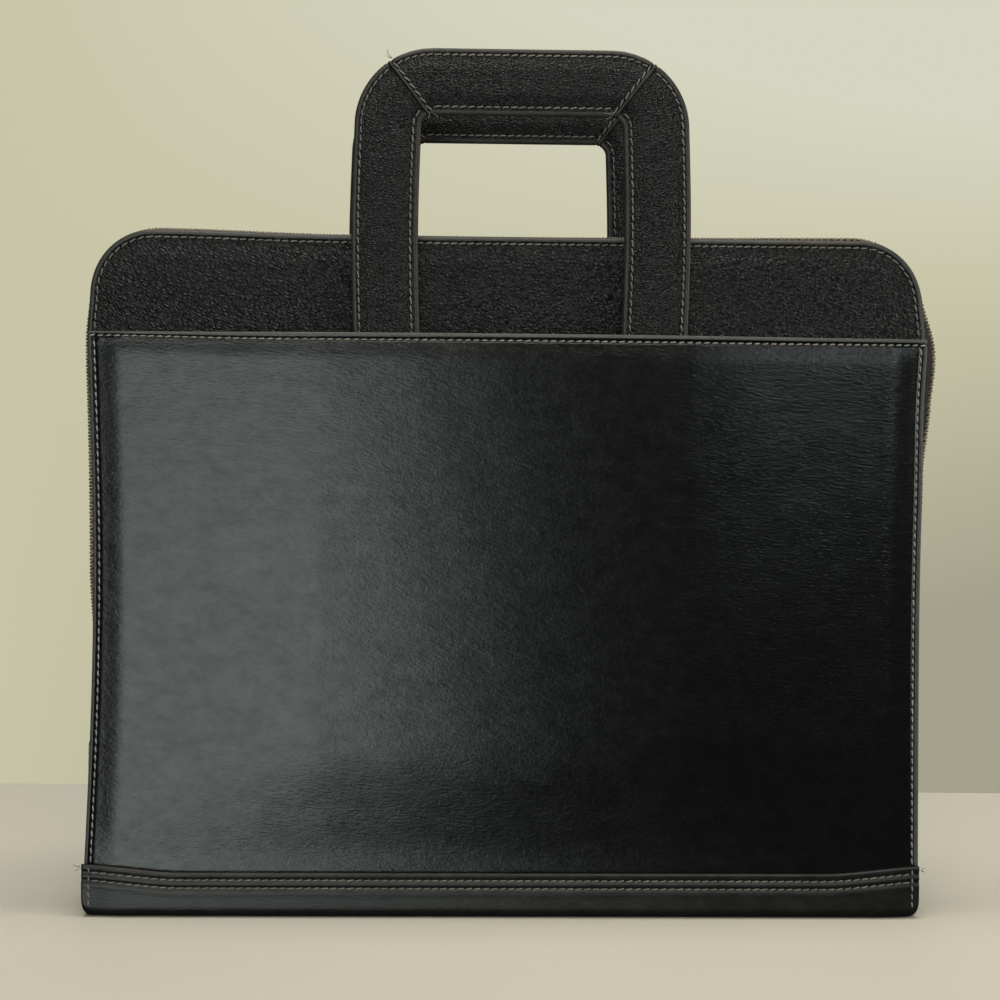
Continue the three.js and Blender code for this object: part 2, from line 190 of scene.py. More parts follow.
def rounded(distance, radius):
    """How far a face falls away at this distance from an edge with this rounding."""
    near = np.clip(radius - distance, 0, radius)
    return radius - np.sqrt(radius**2 - near**2)


def rounded_corner(first, second, radius):
    """How far a face falls away near two such edges that meet."""
    near = np.hypot(np.maximum(0, radius - first), np.maximum(0, radius - second))
    return rounded(radius - near, radius)


def relief(distance, table):
    """Height of a face's rolls and grooves. table gives where each is, its height and its width."""
    return sum(height * hump(distance - place, width) for place, height, width in table)


def ripple(x, z, size):
    """A slow uneven wave over a face, between about -1 and 1, with bumps of this size."""
    turns = 2 * math.pi / size
    first = np.sin(turns * (0.9 * x + 0.35 * z) + 0.6)
    second = np.sin(turns * (0.31 * x - 1.13 * z) + 2.1)
    third = np.sin(turns * (-0.57 * x + 0.71 * z) * 1.7 + 4.4)
    return (first + second + 0.6 * third) / 2.6


# Leather forms shared by the pieces
def side_reach(side, z):
    """Distance from the case's middle to its left (-1) or right (1) side, without its corners."""
    share = np.clip((z - BAND_HEIGHT) / (POCKET_TOP - BAND_HEIGHT), 0, 1)
    drawn = np.sin(math.pi * share)
    left = HALF_WIDTH - LEFT_BOW * drawn - LEFT_LEAN * smooth((z - POCKET_TOP) / LEAN_REACH)
    reach = np.where(z > POCKET_TOP, FLARE_UP, FLARE_DOWN)
    right = HALF_WIDTH - RIGHT_BOW * drawn + MOUTH_FLARE * hump(z - POCKET_TOP, reach)
    return np.where(np.asarray(side) < 0, left, right)


def pocket_reach(side, z):
    """Distance from the case's middle to a pocket's left (-1) or right (1) edge."""
    left = side_reach(-1, z) - POCKET_INSET
    right = side_reach(1, z) + POCKET_SWELL * hump(z - SWELL_HEIGHT, SWELL_REACH)
    return np.where(np.asarray(side) < 0, left, right)


def raised(x, z):
    """How much higher the case stands here because the zip pushes its top left corner up."""
    from_left = HALF_WIDTH + x
    across = smooth((CORNER_RISE_REACH - from_left) / (CORNER_RISE_REACH - TOP_RADIUS))
    up = smooth((z - POCKET_TOP) / (CASE_HEIGHT - POCKET_TOP))
    return CORNER_RISE * across * up


def cover_face(x, z):
    """Distance of a cover's face from the case's middle plane, between its corners."""
    from_side = smooth((side_reach(np.sign(x), z) - np.abs(x)) / PILLOW_REACH)
    from_top = smooth((CASE_HEIGHT - z) / PILLOW_REACH)
    return RIM_FACE + COVER_PILLOW * from_side * from_top


# Meshes
def xyz(x, y, z):
    """Points from their coordinates, each a number or an array."""
    return np.stack(np.broadcast_arrays(x, y, z), axis=-1)


def resampled(line, length, at):
    """A line's points at other distances along it."""
    return np.stack([np.interp(at, length, column) for column in line.T], axis=1)


def band_faces(first, second):
    """Quads between two rows of point numbers."""
    return np.stack([first[:-1], first[1:], second[1:], second[:-1]], axis=1)


def grid_faces(numbers):
    """Quads of a grid of point numbers."""
    return np.concatenate([band_faces(a, b) for a, b in zip(numbers[:-1], numbers[1:])])


def ring_faces(numbers):
    """Quads between rings of point numbers."""
    return grid_faces(np.column_stack([numbers, numbers[:, 0]]))


def shell(outer, inner):
    """Points and faces of a wall between two grids of points, closed along its edges."""
    rows, columns = outer.shape[:2]
    points = np.concatenate([outer.reshape(-1, 3), inner.reshape(-1, 3)])
    out = np.arange(rows * columns).reshape(rows, columns)
    back = out + rows * columns
    faces = [grid_faces(out), grid_faces(back)]
    for edge in (np.s_[0], np.s_[-1], np.s_[:, 0], np.s_[:, -1]):
        faces.append(band_faces(out[edge], back[edge]))
    return points, np.concatenate(faces).tolist()


def tube(rings):
    """Points and faces of a solid through rings of points, with a flat end at each end."""
    numbers = np.arange(rings[..., 0].size).reshape(rings.shape[:2])
    return rings.reshape(-1, 3), ring_faces(numbers).tolist() + numbers[[0, -1]].tolist()


def joined(parts):
    """Points and faces of several meshes as one."""
    points = []
    faces = []
    start = 0
    for some_points, some_faces in parts:
        points.append(some_points)
        faces.extend([[start + n for n in face] for face in some_faces])
        start += len(some_points)
    return np.concatenate(points), faces


def add_object(name, data):
    """Puts a new object into the scene."""
    thing = bpy.data.objects.new(name, data)
    bpy.context.scene.collection.objects.link(thing)
    return thing


def add_piece(name, mesh_data, material, nodes=(), rim=None):
    """Makes a piece that rides on the case. rim is another material and which points it reaches."""
    points, faces = mesh_data
    mesh = bpy.data.meshes.new(name)
    mesh.from_pydata(np.asarray(points).tolist(), [], faces)
    work = bmesh.new()
    work.from_mesh(mesh)
    bmesh.ops.recalc_face_normals(work, faces=work.faces)
    work.to_mesh(mesh)
    work.free()
    mesh.shade_smooth()
    mesh.materials.append(material)
    if rim:
        rim_material, on_rim = rim
        mesh.materials.append(rim_material)
        for polygon in mesh.polygons:
            polygon.material_index = int(on_rim[list(polygon.vertices)].all())
    piece = add_object(name, mesh)
    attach(piece, "root")
    if nodes:
        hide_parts(*nodes)
    return piece


# Stitches
THREAD_RINGS = (
    # along the stitch as a share of its length, radius as a share of the thread's, height likewise
    (-0.5, 0.5, -0.9),
    (-0.42, 0.85, -0.1),
    (-0.2, 1.0, 0.5),
    (0.2, 1.0, 0.5),
    (0.42, 0.85, -0.1),
    (0.5, 0.5, -0.9),
)
THREAD_SIDES = 6


def stitch_template():
    """One stitch: along X, across Y, out of the leather Z, with its faces."""
    turns = np.linspace(0, 2 * math.pi, THREAD_SIDES, endpoint=False)
    rings = []
    for along, radius, height in THREAD_RINGS:
        out = THREAD * (height + radius * np.sin(turns))
        rings.append(xyz(along * STITCH_LENGTH, radius * THREAD * np.cos(turns), out))
    return tube(np.array(rings))


def stitches(places, side, slant=STITCH_SLANT, longer=1.0):
    """Points and faces of a row of stitches on one side of the case or of a handle, towards -Y (-1) or
    +Y (1). places runs hole, middle, hole, middle and so on."""
    template, faces = stitch_template()
    last = (len(places) - 1) // 2
    along = places[2::2] - places[: 2 * last : 2]
    lengths = np.linalg.norm(along, axis=1, keepdims=True)
    along = along / lengths
    outward = np.array([0, side, 0]) - along * along[:, 1:2] * side
    outward = outward / np.linalg.norm(outward, axis=1, keepdims=True)
    across = np.cross(outward, along)
    turn = slant + rng.normal(0, SLANT_SPREAD, (last, 1))
    stretch = longer * lengths / PITCH * rng.normal(1, LENGTH_SPREAD, (last, 1))
    leaning = (along * np.cos(turn) + across * np.sin(turn)) * stretch
    sideways = across * np.cos(turn) - along * np.sin(turn)
    points = places[1 : 2 * last : 2][:, None]
    for number, direction in enumerate((leaning, sideways, outward)):
        points = points + template[:, number : number + 1] * direction[:, None]
    every = [[n + k * len(template) for n in face] for k in range(last) for face in faces]
    return points.reshape(-1, 3), every


def halves(length):
    """How many half pitches, an even number, go best into a length."""
    return max(2, 2 * round(length / PITCH))


def holes(count):
    """1 at each hole and -1 at each stitch's middle, for that many half pitches."""
    return np.where(np.arange(count + 1) % 2 == 0, 1.0, -1.0)


# Covers
TOP_STEPS = halves(2 * (HALF_WIDTH - TOP_RADIUS))
CORNER_STEPS = halves((TOP_RADIUS - COVER_SEAM) * math.pi / 2)
SIDE_STITCHED = halves(CORNER_START - POCKET_TOP + 3 * PITCH)
SIDE_PLAIN = 44
FOOT_STEPS = 4
LEAST_RADIUS = 0.0005
FIELD_INSET = 0.02
FIELD_WAVES = 0.00015


def cover_side(side, inset):
    """Points x, z of one side of a cover from the foot over the top corner, this far in from its edge."""
    foot_radius = max(FOOT_RADIUS - inset, LEAST_RADIUS)
    foot_turn = np.linspace(-math.pi / 2, 0, FOOT_STEPS + 1)
    foot_x = HALF_WIDTH - inset - foot_radius * (1 - np.cos(foot_turn))
    foot_z = COVER_FOOT + inset + foot_radius * (1 + np.sin(foot_turn))
    stitched_from = CORNER_START - SIDE_STITCHED * PITCH / 2
    plain_z = np.linspace(foot_z[-1], stitched_from, SIDE_PLAIN + 1)[1:]
    stitched_z = np.linspace(stitched_from, CORNER_START, SIDE_STITCHED + 1)[1:]
    side_z = np.concatenate([plain_z, stitched_z])
    side_x = side_reach(side, side_z) - inset
    turn = np.linspace(0, math.pi / 2, CORNER_STEPS + 1)[1:]
    corner_z = CORNER_START + (TOP_RADIUS - inset) * np.sin(turn)
    corner_x = side_reach(side, corner_z) - TOP_RADIUS + (TOP_RADIUS - inset) * np.cos(turn)
    x = side * np.concatenate([foot_x, side_x, corner_x])
    return x, np.concatenate([foot_z, side_z, corner_z])


def cover_loop(inset):
    """Points x, z all round a cover: left side up, top, right side down, foot. Each inset has as many."""
    left_x, left_z = cover_side(-1, inset)
    right_x, right_z = cover_side(1, inset)
    top_x = np.linspace(left_x[-1], right_x[-1], TOP_STEPS + 1)[1:-1]
    foot_x = np.linspace(right_x[0], left_x[0], TOP_STEPS + 1)[1:-1]
    x = np.concatenate([left_x, top_x, right_x[::-1], foot_x])
    top_z = np.full(len(top_x), left_z[-1])
    foot_z = np.full(len(foot_x), left_z[0])
    return x, np.concatenate([left_z, top_z, right_z[::-1], foot_z])


def cover_holes():
    """1 at each hole, -1 at each stitch's middle and 0 where there are none, all round a cover."""
    side = FOOT_STEPS + 1 + SIDE_PLAIN + SIDE_STITCHED + CORNER_STEPS
    row = holes(SIDE_STITCHED + CORNER_STEPS)
    up = np.concatenate([np.zeros(side - len(row)), row])
    top = holes(TOP_STEPS)[1:-1]
    return np.concatenate([up, top, up[::-1], np.zeros(len(top))])


def cover_section():
    """Insets and depths across a cover's rim, from inside the case round its edge to the padded field."""
    turn = np.linspace(0, math.pi / 2, 5)
    back_inset = RIM_BACK_RADIUS * (1 - np.sin(turn))
    back_depth = INSIDE_HALF + RIM_BACK_RADIUS * (1 - np.cos(turn))
    edge_inset = RIM_EDGE_RADIUS * (1 - np.cos(turn))
    edge_depth = RIM_FACE - RIM_EDGE_RADIUS * (1 - np.sin(turn))
    face_inset = np.concatenate([np.arange(0.0017, 0.0062, 0.00035), np.linspace(0.0066, FIELD_INSET, 11)])
    inset = np.concatenate([[0.008], back_inset, edge_inset, face_inset])
    depth = np.concatenate([[INSIDE_HALF], back_depth, edge_depth, np.full(len(face_inset), RIM_FACE)])
    return inset, depth


def cover_relief(inset, holed):
    """Height over the rim's plain face: the roll at its edge, the seam with its holes, the padding."""
    roll = relief(inset, COVER_ROLL) * smooth(inset / 0.0012)
    pull = -0.00013 * holed * hump(inset - COVER_SEAM - 0.0004, 0.0013)
    padding = COVER_PILLOW * smooth((inset - COVER_SEAM) / (0.6 * PILLOW_REACH))
    return roll + relief(inset, COVER_GROOVE) + pull + padding


def cover_data(side):
    """A cover as rings round its rim and a grid over its field, with a flat inside."""
    holed = cover_holes()
    rings = []
    for inset, depth in zip(*cover_section()):
        x, z = cover_loop(inset)
        on_face = depth > RIM_FACE - RIM_EDGE_RADIUS
        y = depth + (cover_relief(inset, holed) if on_face else 0)
        rings.append(xyz(x, side * y, z))
    points = np.concatenate(rings)
    numbers = np.arange(len(points)).reshape(len(rings), -1)

    between = TOP_STEPS - 1
    rows = len(rings[0]) // 2 - between
    left, top, right, foot = np.split(numbers[-1], np.cumsum([rows, between, rows]))
    grid = np.zeros((rows, TOP_STEPS + 1), int)
    grid[:, 0] = left
    grid[-1, 1:-1] = top
    grid[:, -1] = right[::-1]
    grid[0, 1:-1] = foot[::-1]
    grid[1:-1, 1:-1] = len(points) + np.arange((rows - 2) * between).reshape(rows - 2, between)
    share = np.linspace(0, 1, TOP_STEPS + 1)[1:-1, None]
    start = points[grid[1:-1, 0]][:, None]
    end = points[grid[1:-1, -1]][:, None]
    field = start + (end - start) * share
    x, _, z = np.moveaxis(field, -1, 0)
    from_border = np.minimum(side_reach(np.sign(x), z) - np.abs(x), CASE_HEIGHT - z) - FIELD_INSET
    waves = FIELD_WAVES * smooth(from_border / FIELD_INSET) * (1 + ripple(x, z, 0.055))
    field[..., 1] -= side * waves
    points = np.concatenate([points, field.reshape(-1, 3)])
    points[:, 2] += raised(points[:, 0], points[:, 2])
    faces = np.concatenate([ring_faces(numbers), grid_faces(grid)]).tolist()
    return points, faces + [numbers[0].tolist()]


def cover_rim(points):
    """Which points of a cover are on the strip round its edge that gets the painted highlight: those of its
    first rings.
    """
    inset, _ = cover_section()
    rings = np.flatnonzero(inset < COVER_SEAM - 0.001)[-1] + 1
    return np.arange(len(points)) < rings * len(cover_holes())


def cover_seam(side):
    """Stitches round a cover's rim above its pocket."""
    seam = np.flatnonzero(cover_holes())
    x, z = (values[seam] for values in cover_loop(COVER_SEAM))
    depth = RIM_FACE + cover_relief(COVER_SEAM, 0)
    return stitches(xyz(x, side * depth, z + raised(x, z)), side, longer=TIGHT)


# Pockets
ROUND_OFFSETS = np.array([0, 0.02, 0.07, 0.16, 0.28, 0.44, 0.7]) / 1000
POCKET_EDGE_OFFSETS = np.concatenate([
    ROUND_OFFSETS, np.arange(1.0, 4.0, 0.35) / 1000, [0.0046, 0.0056, 0.007, 0.0086],
])
POCKET_TOP_OFFSETS = np.concatenate([
    ROUND_OFFSETS, np.arange(0.95, 4.6, 0.3) / 1000, [0.005, 0.0057, 0.0065, 0.0074],
])
MOUTH_STEPS = halves(2 * (HALF_WIDTH - POCKET_INSET))
SIDE_STEPS = halves(POCKET_TOP - POCKET_FOOT)
SIDE_STEP = (POCKET_TOP - POCKET_FOOT) / SIDE_STEPS
MOUTH_SEAM_LEFT = 0.0017  # below the mouth at the pocket's left edge
MOUTH_SEAM_RIGHT = 0.0026
MOUTH_SEAM_MIDDLE = 0.003
MOUTH_SEAM_REACH = 0.09
MOUTH_PUFF = 0.0006  # how far the leather swells out below those stitches
MOUTH_PUFF_REACH = 0.0085


def pocket_width(z):
    """Where the pocket's left edge is, and how wide it is."""
    left = -pocket_reach(-1, z)
    return left, pocket_reach(1, z) - left


def pocket_gap(x, z, slip):
    """How far a pocket stands off its cover: flat at its seams, bowed out over the legs."""
    leg_edge = handle_width() / 2 + abs(slip) + LEG_BOW + FIT
    seam_edge = pocket_reach(np.sign(x), z) - POCKET_SEAM
    share = np.clip((seam_edge - np.abs(x)) / (seam_edge - leg_edge), 0, 1)
    across = share**2 * (2 - share)
    crown = POCKET_CROWN * (1 - np.clip(np.abs(x) / leg_edge, 0, 1) ** 2)
    up = smooth((z - LIP_TOP) / POCKET_RISE)
    return FIT + ((HANDLE_THICK + FIT) * across + crown) * up


def side_distance(x, z):
    """How far in from a pocket's nearer side a place is."""
    left, width = pocket_width(z)
    return np.minimum(x - left, left + width - x)


def mouth_seam_depth(x, z):
    """How far below the mouth its stitches run: nearer to it at the sides."""
    left, width = pocket_width(z)
    depth = MOUTH_SEAM_MIDDLE
    for at_side, inward in ((MOUTH_SEAM_LEFT, x - left), (MOUTH_SEAM_RIGHT, left + width - x)):
        depth = depth - (MOUTH_SEAM_MIDDLE - at_side) * (1 - smooth(inward / MOUTH_SEAM_REACH))
    return depth


def pocket_outer(x, z, slip):
    """Distance of a pocket's outside from the case's middle plane, without its seams' holes."""
    from_side = side_distance(x, z)
    below = POCKET_TOP - z
    seam = mouth_seam_depth(x, z)
    depth = cover_face(x, z) + pocket_gap(x, z, slip) + POCKET_WALL
    depth -= rounded_corner(below, from_side, POCKET_ROUND)
    mouth = relief(below, ((0.5 * seam, 0.0003, 0.0007), (seam, -0.0005, 0.0006)))
    above_lip = smooth((z - LIP_TOP) / 0.02)
    inward = smooth((from_side - SIDE_SEAM) / 0.012) * above_lip
    under = MOUTH_PUFF * smooth((below - seam) / MOUTH_PUFF_REACH) * inward
    middle = smooth(from_side / 0.03) * smooth(below / 0.02) * above_lip
    waves = sum(height * ripple(x + shift, z, size) for shift, size, height in POCKET_WAVES)
    return depth + mouth + under + relief(from_side, POCKET_SIDE_RELIEF) + middle * waves


def pocket_columns(z):
    """Places x across a pocket at one height, with stitches of the mouth at every other inner place."""
    left, width = pocket_width(z)
    step = width / MOUTH_STEPS
    first = int(np.ceil((POCKET_EDGE_OFFSETS[-1] + 0.001) / step))
    inner = np.arange(first, MOUTH_STEPS - first + 1) * step
    across = np.concatenate([POCKET_EDGE_OFFSETS, inner, width - POCKET_EDGE_OFFSETS[::-1]])
    return left + across, np.cos(math.pi * across / step)


def pocket_data(side, slip):
    """A pocket's leather panel."""
    first = int(np.ceil((POCKET_TOP_OFFSETS[-1] + 0.001) / SIDE_STEP))
    below = np.concatenate([POCKET_TOP_OFFSETS, np.arange(first, SIDE_STEPS + 1) * SIDE_STEP])
    outer = []
    inner = []
    for down in below:
        z = POCKET_TOP - down
        x, mouth_holes = pocket_columns(z)
        from_side = side_distance(x, z)
        pull = mouth_holes * hump(down - mouth_seam_depth(x, z) - 0.0003, 0.0012)
        pull += math.cos(math.pi * down / SIDE_STEP) * hump(from_side - SIDE_SEAM - 0.0003, 0.0013)
        out = pocket_outer(x, z, slip) - STITCH_PULL * pull
        back = cover_face(x, z) + pocket_gap(x, z, slip)
        back += rounded_corner(down, from_side, POCKET_BACK_ROUND)
        outer.append(xyz(x, side * out, z))
        inner.append(xyz(x, side * back, z))
    return shell(np.array(outer), np.array(inner))


def pocket_rim(points):
    """Which points of a pocket are on the strip along its mouth and its sides that gets the painted
    highlight.
    """
    x, _, z = points.T
    mouth = np.minimum(0.0018, mouth_seam_depth(x, z) - 0.0009)
    return (side_distance(x, z) < 0.0014) | (POCKET_TOP - z < mouth)


def pocket_seams(side, slip):
    """Stitches along a pocket's mouth, and down its left and right sides to the spine's lip."""
    left, width = pocket_width(POCKET_TOP)
    x = left + np.arange(0, MOUTH_STEPS + 1) * width / MOUTH_STEPS
    lines = [(x, POCKET_TOP - mouth_seam_depth(x, POCKET_TOP))]
    z = POCKET_TOP - np.arange(2, SIDE_STEPS + 2) * SIDE_STEP
    z = z[z > LIP_TOP]
    lines += [(end * (pocket_reach(end, z) - SIDE_SEAM), z) for end in (-1, 1)]
    return joined(stitches(xyz(x, side * pocket_outer(x, z, slip), z), side) for x, z in lines)


# Spine
LIP_OFFSETS = np.concatenate([ROUND_OFFSETS, np.arange(0.001, 0.0096, 0.0004), [0.0105, 0.0118]])


def spine_top(from_end):
    """Height of the spine's lip, this far in from its end."""
    return BAND_HEIGHT + BAND_RISE * (1 - smooth(from_end / BAND_RISE_REACH))


def spine_face(x):
    """Distance of the spine's outside from the case's middle plane."""
    return cover_face(x, BAND_HEIGHT) + FIT + POCKET_WALL + FIT + SPINE_WALL


def spine_relief(below, holed):
    """Height over the band's plain face, this far below its lip."""
    first, second = BAND_SEAMS
    pulls = hump(below - first, 0.001) + hump(below - second - 0.0004, 0.0014)
    return relief(below, SPINE_RELIEF) - STITCH_PULL * holed * pulls


def spine_profile(x, outside, holed):
    """Points across the spine's outside or inside, from the front lip to the back lip."""
    from_end = HALF_WIDTH - abs(x)
    face = spine_face(x)
    if outside:
        lip = face + spine_relief(LIP_OFFSETS, holed) - rounded_corner(LIP_OFFSETS, from_end, SPINE_ROUND)
        depth = rounded(from_end, SPINE_ROUND)
    else:
        lip = face - SPINE_WALL + rounded_corner(LIP_OFFSETS, from_end, SPINE_BACK_ROUND)
        depth = SPINE_WALL - rounded(from_end, SPINE_BACK_ROUND)
    radius = SPINE_CORNER - depth
    turn = np.linspace(0, math.pi / 2, 9)
    lift = rounded(from_end, FOOT_RADIUS)
    y = np.concatenate([lip, face - depth - radius * (1 - np.cos(turn))])
    z = np.concatenate([spine_top(from_end) - LIP_OFFSETS, lift + SPINE_CORNER - radius * np.sin(turn)])
    floor_y = np.linspace(y[-1], -y[-1], 9)[1:-1]
    floor_z = np.full(len(floor_y), z[-1])
    return xyz(x, np.concatenate([-y, -floor_y, y[::-1]]), np.concatenate([z, floor_z, z[::-1]]))


def spine_stations():
    """Places x along the spine, close together at its rounded ends."""
    ends = np.concatenate([ROUND_OFFSETS, [0.0011, 0.0017, 0.0027]])
    run = HALF_WIDTH - FOOT_RADIUS
    steps = halves(2 * run)
    middle = np.linspace(-run, run, steps + 1)
    x = np.concatenate([ends - HALF_WIDTH, middle, HALF_WIDTH - ends[::-1]])
    holed = np.concatenate([np.zeros(len(ends)), holes(steps), np.zeros(len(ends))])
    return x, holed


def spine_data():
    """The spine: a channel whose lips lie over the pockets' feet."""
    sheets = [
        np.array([spine_profile(x, outside, holed) for x, holed in zip(*spine_stations())])
        for outside in (True, False)
    ]
    return shell(*sheets)


def spine_seams(side):
    """Stitches along the spine's lip, and down its left and right ends in line with the pocket's."""
    x, holed = spine_stations()
    x = x[np.flatnonzero(holed)]
    lip = spine_top(HALF_WIDTH - np.abs(x))
    seams = []
    for drop in BAND_SEAMS:
        y = spine_face(x) + spine_relief(drop, 0)
        seams.append(stitches(xyz(x, side * y, lip - drop), side, longer=TIGHT))
    from_end = POCKET_INSET + SIDE_SEAM
    top = float(spine_top(from_end)) - 0.0006
    z = np.linspace(top, SPINE_CORNER - 0.0005, halves(top - SPINE_CORNER) + 1)
    for end in (-1, 1):
        x = end * (HALF_WIDTH - from_end)
        y = spine_face(x) + spine_relief(spine_top(from_end) - z, 0)
        seams.append(stitches(xyz(x, side * y, z), side))
    return joined(seams)


# Handles
def handle_place(name):
    """How far a handle is moved from one in the case's middle, with the front handle's height."""
    low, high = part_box(f"{name}_handle_top")
    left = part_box(f"{name}_handle_leg_left")[0].x
    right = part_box(f"{name}_handle_leg_right")[1].x
    return np.array([(left + right) / 2, (low.y + high.y) / 2, high.z - HANDLE_TOP])


def handle_width():
    """Width of a handle over its two straight legs."""
    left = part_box("front_handle_leg_left")[0].x
    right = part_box("front_handle_leg_right")[1].x
    return right - left - 2 * LEG_BOW


LEG_CENTRE = (handle_width() - HANDLE_BAND) / 2
BEND_RADIUS = HANDLE_INNER_RADIUS + HANDLE_BAND / 2
BEND_X = LEG_CENTRE - BEND_RADIUS
HANDLE_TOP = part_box("front_handle_top")[1].z
BEND_Z = HANDLE_TOP - HANDLE_BAND / 2 - BEND_RADIUS
HANDLE_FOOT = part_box("front_handle_leg_left")[0].z
HANDLE_PLAIN = 14


def mitre_angle(radius, offset):
    """Angle round the bend where a line at this radius meets the mitre, moved this far towards the leg."""
    reach_x = BEND_X - (handle_width() / 2 - HANDLE_BAND - MITRE_INSET)
    reach_z = BEND_Z - (HANDLE_TOP - HANDLE_BAND)
    beyond = reach_x * math.cos(MITRE_LEAN) - reach_z * math.sin(MITRE_LEAN)
    angle = np.arccos(np.clip((offset - beyond) / radius, -1, 1)) - MITRE_LEAN
    return np.minimum(angle, math.pi / 2)


def band_section(extra=0.0):
    """Points across and deep round the handle band's section, grown by extra. Across is outward."""
    half = HANDLE_BAND / 2
    inward = np.concatenate([
        BAND_EDGE * (1 - np.cos(np.linspace(0, math.pi / 2, 5))),
        np.arange(0.0018, 0.0062, 0.0004),
        [0.0068, 0.0076, 0.0086, 0.01, 0.012],
    ])
    across = np.concatenate([half - inward, inward[::-1] - half])
    rounding = half - np.abs(across)
    core = smooth((half - across - OUTER_SEAM) / 0.006) * smooth((half + across - INNER_SEAM) / 0.006)
    deep = HANDLE_THICK / 2 * (0.62 + 0.38 * core) - 0.9 * rounded(rounding, BAND_EDGE) + extra
    across = across + np.sign(across) * extra * smooth((BAND_EDGE - rounding) / BAND_EDGE)
    front = np.stack([across, -deep], axis=1)
    return np.concatenate([front, (front * (1, -1))[::-1]])


def seam_relief(across, deep, holed):
    """Moves the band's section inward at its seams, more at the holes."""
    insets = (HANDLE_BAND / 2 - across - OUTER_SEAM, HANDLE_BAND / 2 + across - INNER_SEAM)
    seams = sum(hump(inset, 0.0007) for inset in insets)
    wide = sum(hump(inset - 0.0003, 0.0013) for inset in insets)
    return deep - np.sign(deep) * (0.00035 * seams + 0.0001 * holed * wide)


def band_rim(points):
    """Which points of a handle's leg or top are on the strips along its edges that get the painted
    highlight.
    """
    across = band_section()[:, 0]
    return np.resize(np.abs(across) > HANDLE_BAND / 2 - OUTER_SEAM + 0.0009, len(points))


def leg_heights():
    """Heights of the rows of a leg up to the bend, and which of them are stitch holes."""
    steps = halves(BEND_Z - POCKET_TOP + 3 * PITCH)
    stitched = np.linspace(BEND_Z - steps * PITCH / 2, BEND_Z, steps + 1)
    plain = np.linspace(HANDLE_FOOT, stitched[0], HANDLE_PLAIN + 1)[:-1]
    return np.concatenate([plain, stitched]), np.concatenate([np.zeros(HANDLE_PLAIN), holes(steps)])


def leg_point(side, across, z):
    """Where the band's line this far across is at a height of the leg, which bows outward."""
    share = np.clip((z - POCKET_TOP) / (BEND_Z - POCKET_TOP), 0, 1)
    return side * (LEG_CENTRE + LEG_BOW * np.sin(math.pi * share) + across)


def bend_point(side, across, angle):
    """Where the band's line this far across is at an angle round the bend."""
    radius = BEND_RADIUS + across
    return side * (BEND_X + radius * np.cos(angle)), BEND_Z + radius * np.sin(angle)


def handle_tube(name, rows):
    """A solid of a handle through its rows of (x, depth, z)."""
    return tube(np.array([xyz(*row) for row in rows]) + handle_place(name))


MITRE_ROWS = (0.5, 0.25, 0.1, 0.03, 0)  # from the mitre, as shares of a row


def rounded_end(side, offset, share, from_angle, steps):
    """A row of a band close to its mitre, where its end is rounded off."""
    across, deep = band_section(-float(rounded(share / MITRE_ROWS[0] * MITRE_ROUND, MITRE_ROUND))).T
    stop = mitre_angle(BEND_RADIUS + across, offset)
    x, z = bend_point(side, across, stop + (from_angle - stop) * share / steps)
    return x, seam_relief(across, deep, 0), z


def leg_data(name, side):
    """One leg of a handle, from inside the pocket to its mitre."""
    across, deep = band_section().T
    rows = []
    for z, holed in zip(*leg_heights()):
        rows.append((leg_point(side, across, z), seam_relief(across, deep, holed), z))
    offset = WELT_HALF + MITRE_GAP
    stop = mitre_angle(BEND_RADIUS + across, offset)
    outer_seam = BEND_RADIUS + HANDLE_BAND / 2 - OUTER_SEAM
    steps = halves(outer_seam * float(mitre_angle(outer_seam, 0)))
    for number, holed in list(enumerate(holes(steps)))[1:-1]:
        x, z = bend_point(side, across, stop * number / steps)
        rows.append((x, seam_relief(across, deep, holed), z))
    rows += [rounded_end(side, offset, share, 0, steps) for share in MITRE_ROWS]
    return handle_tube(name, rows)


def top_data(name):
    """The top band of a handle, between its mitres."""
    across, deep = band_section().T
    offset = -WELT_HALF - MITRE_GAP
    start = mitre_angle(BEND_RADIUS + across, offset)
    corner = halves(0.4 * BEND_RADIUS)
    run = halves(2 * BEND_X)
    left = [rounded_end(-1, offset, share, math.pi / 2, corner) for share in MITRE_ROWS[::-1]]
    for number, holed in list(enumerate(holes(corner)))[1:]:
        x, z = bend_point(-1, across, start + (math.pi / 2 - start) * number / corner)
        left.append((x, seam_relief(across, deep, holed), z))
    straight = []
    for number, holed in list(enumerate(holes(run)))[1:-1]:
        x = -BEND_X + 2 * BEND_X * number / run
        straight.append((x, seam_relief(across, deep, holed), BEND_Z + BEND_RADIUS + across))
    return handle_tube(name, left + straight + [(-x, y, z) for x, y, z in left[::-1]])


def welt_data(name, side):
    """The rounded welt in one mitre of a handle."""
    rows = []
    reach = HANDLE_BAND / 2 - WELT_INSET
    for turn in np.linspace(-math.pi / 2, math.pi / 2, 11):
        across, deep = band_section(WELT_PROUD - WELT_HALF * (1 - math.cos(turn))).T
        across = np.clip(across, -reach, reach)
        angle = mitre_angle(BEND_RADIUS + across, WELT_HALF * math.sin(turn))
        x, z = bend_point(side, across, angle)
        rows.append((x, deep, z))
    return handle_tube(name, rows)


def band_depth(across):
    """Half thickness of the handle band this far across, in its seams."""
    section = band_section()
    front = section[: len(section) // 2][::-1]
    return np.interp(across, front[:, 0], -front[:, 1]) - 0.0003


